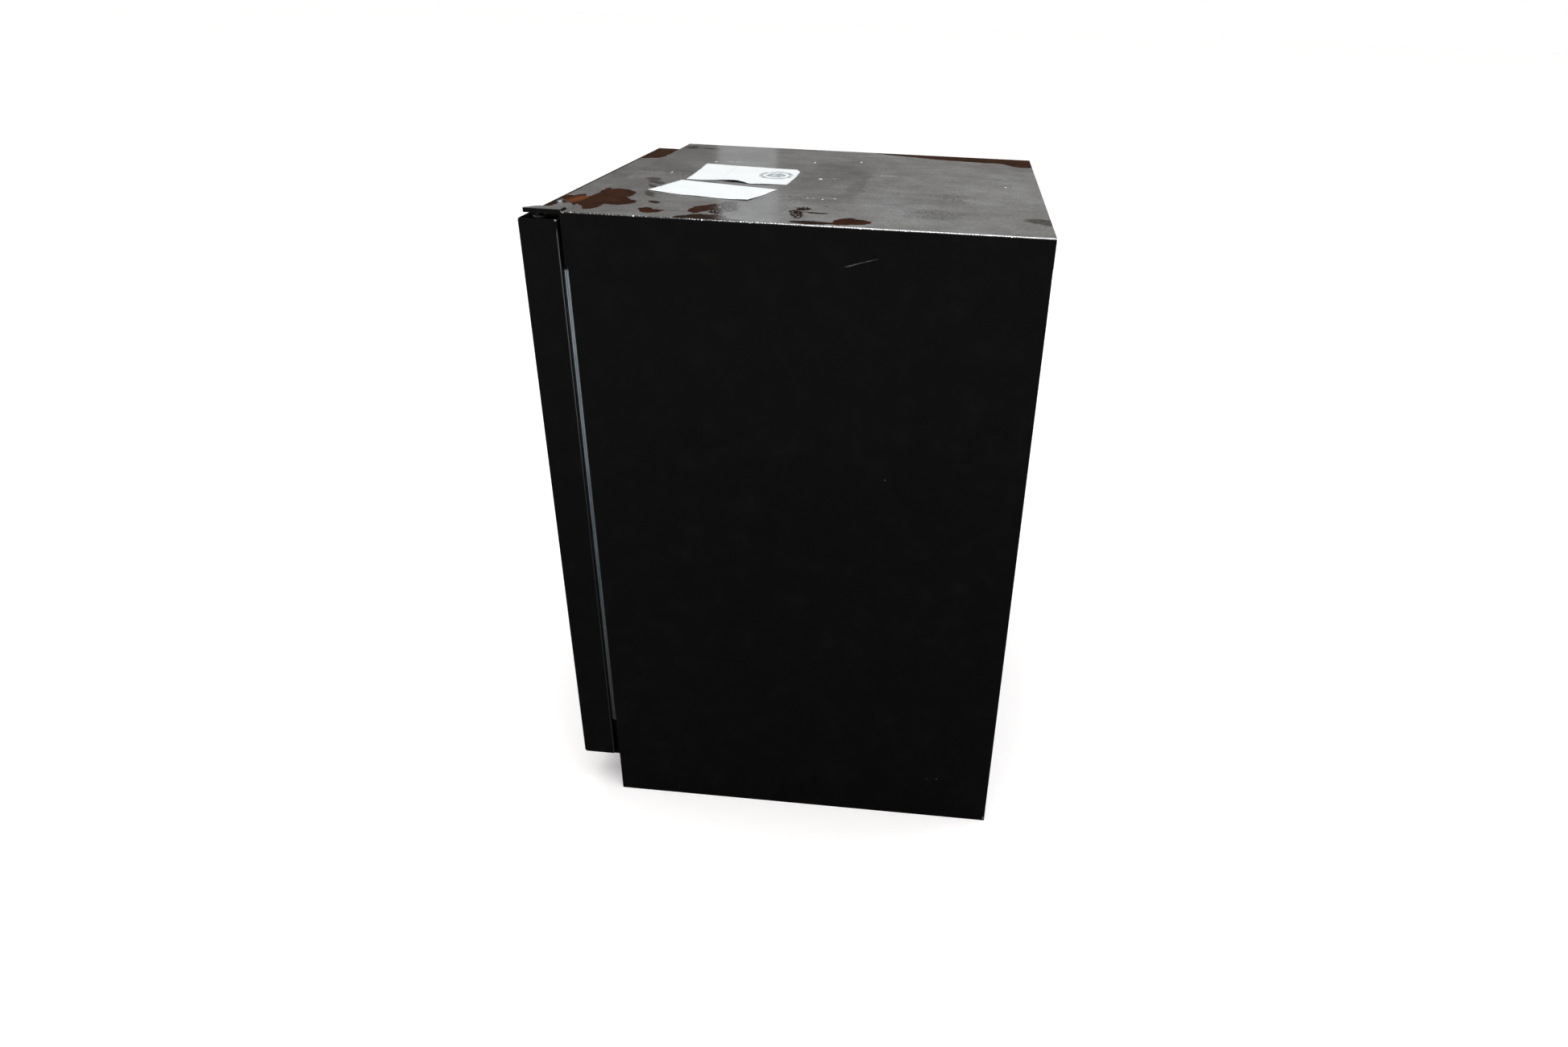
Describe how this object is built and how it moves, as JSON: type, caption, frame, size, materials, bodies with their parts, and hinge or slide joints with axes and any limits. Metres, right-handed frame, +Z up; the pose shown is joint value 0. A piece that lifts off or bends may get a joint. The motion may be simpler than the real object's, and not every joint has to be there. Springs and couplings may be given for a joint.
{
  "type": "undercounter refrigerator",
  "caption": "Black undercounter refrigerator: steel cabinet with a full-width hinged door, moulded inner liner with glass shelves and door bins, and a rear compressor space.",
  "frame": {"origin": "on the floor, under the middle of the outline from above", "axes": "+Z up, the door faces -Y, the hinges are at +X"},
  "size_m": [0.606, 0.615, 0.866],
  "materials": {
    "black_paint": "satin",
    "galvanised": "satin",
    "foam": "matte",
    "white_plastic": "satin",
    "black_plastic": "satin",
    "grey_plastic": "satin",
    "clear_plastic": "gloss",
    "glass": "gloss",
    "aluminium": "satin",
    "copper": "satin",
    "black_enamel": "gloss",
    "black_rubber": "matte",
    "gasket_rubber": "matte",
    "bright_steel": "polished",
    "paper": "matte"
  },
  "bodies": {
    "cabinet": {"cabinet_wrapper": "black_paint", "back_panel": "galvanised", "base_pan": "galvanised", "lower_front_rail": "black_paint", "foam_bulkhead": "galvanised", "insulation_foam": "foam", "liner": "white_plastic", "kick_grille": "black_plastic", "control_fascia": "black_plastic", "display_window": "glass", "light_lens": "clear_plastic", "shelf_glass_1": "glass", "shelf_glass_2": "glass", "shelf_glass_3": "glass", "shelf_trim_1": "grey_plastic", "shelf_trim_2": "grey_plastic", "shelf_trim_3": "grey_plastic", "evaporator_cover": "white_plastic", "evaporator_plate": "aluminium", "evaporator_tube": "copper", "evaporator_fan_frame": "black_plastic", "compressor_shell": "black_enamel", "compressor_feet": "galvanised", "compressor_grommet_1": "black_rubber", "compressor_grommet_2": "black_rubber", "compressor_grommet_3": "black_rubber", "compressor_grommet_4": "black_rubber", "start_relay": "black_plastic", "condenser_coil": "black_enamel", "filter_drier": "copper", "condenser_shroud": "galvanised", "condenser_fan_motor": "black_enamel", "suction_line": "copper", "discharge_line": "copper", "drain_pan": "black_plastic", "drain_tube": "grey_plastic", "rear_cover": "galvanised", "cord_gland": "black_rubber", "top_hinge": "black_paint", "bottom_hinge": "black_paint", "label_left": "paper", "label_right": "paper"},
    "door": {"door_shell": "black_paint", "door_foam": "foam", "door_liner": "white_plastic", "door_gasket": "gasket_rubber", "door_bin_1": "clear_plastic", "door_bin_2": "clear_plastic", "door_bin_3": "clear_plastic", "hinge_bushing_upper": "black_plastic", "hinge_bushing_lower": "black_plastic", "door_top_screw": "bright_steel"},
    "evaporator_fan": {"evaporator_fan_blade": "black_plastic"},
    "condenser_fan": {"condenser_fan_blade": "black_plastic"},
    "button_1": {"control_button_1": "grey_plastic"},
    "button_2": {"control_button_2": "grey_plastic"},
    "left_front_foot": {"leg_front_left": "black_rubber"},
    "right_front_foot": {"leg_front_right": "black_rubber"},
    "left_rear_foot": {"leg_rear_left": "black_rubber"},
    "right_rear_foot": {"leg_rear_right": "black_rubber"}
  },
  "joints": [
    {"name": "door_hinge", "type": "hinge", "parent": "cabinet", "child": "door", "pos_m": [0.2925, -0.2835, 0], "axis": [0, 0, 1], "range_deg": [0, 110]},
    {"name": "evaporator_fan_spin", "type": "hinge", "parent": "cabinet", "child": "evaporator_fan", "pos_m": [0, 0.23, 0.68], "axis": [0, 1, 0], "continuous": true},
    {"name": "condenser_fan_spin", "type": "hinge", "parent": "cabinet", "child": "condenser_fan", "pos_m": [-0.104, 0.23, 0.118], "axis": [1, 0, 0], "continuous": true},
    {"name": "button_1_press", "type": "slide", "parent": "cabinet", "child": "button_1", "axis": [0, 1, 0], "range_m": [0, 0.0012], "stiffness_N_per_m": 300, "springref_m": -0.001},
    {"name": "button_2_press", "type": "slide", "parent": "cabinet", "child": "button_2", "axis": [0, 1, 0], "range_m": [0, 0.0012], "stiffness_N_per_m": 300, "springref_m": -0.001},
    {"name": "left_front_foot_height", "type": "slide", "parent": "cabinet", "child": "left_front_foot", "axis": [0, 0, -1], "range_m": [0, 0.025]},
    {"name": "right_front_foot_height", "type": "slide", "parent": "cabinet", "child": "right_front_foot", "axis": [0, 0, -1], "range_m": [0, 0.025]},
    {"name": "left_rear_foot_height", "type": "slide", "parent": "cabinet", "child": "left_rear_foot", "axis": [0, 0, -1], "range_m": [0, 0.025]},
    {"name": "right_rear_foot_height", "type": "slide", "parent": "cabinet", "child": "right_rear_foot", "axis": [0, 0, -1], "range_m": [0, 0.025]}
  ]
}
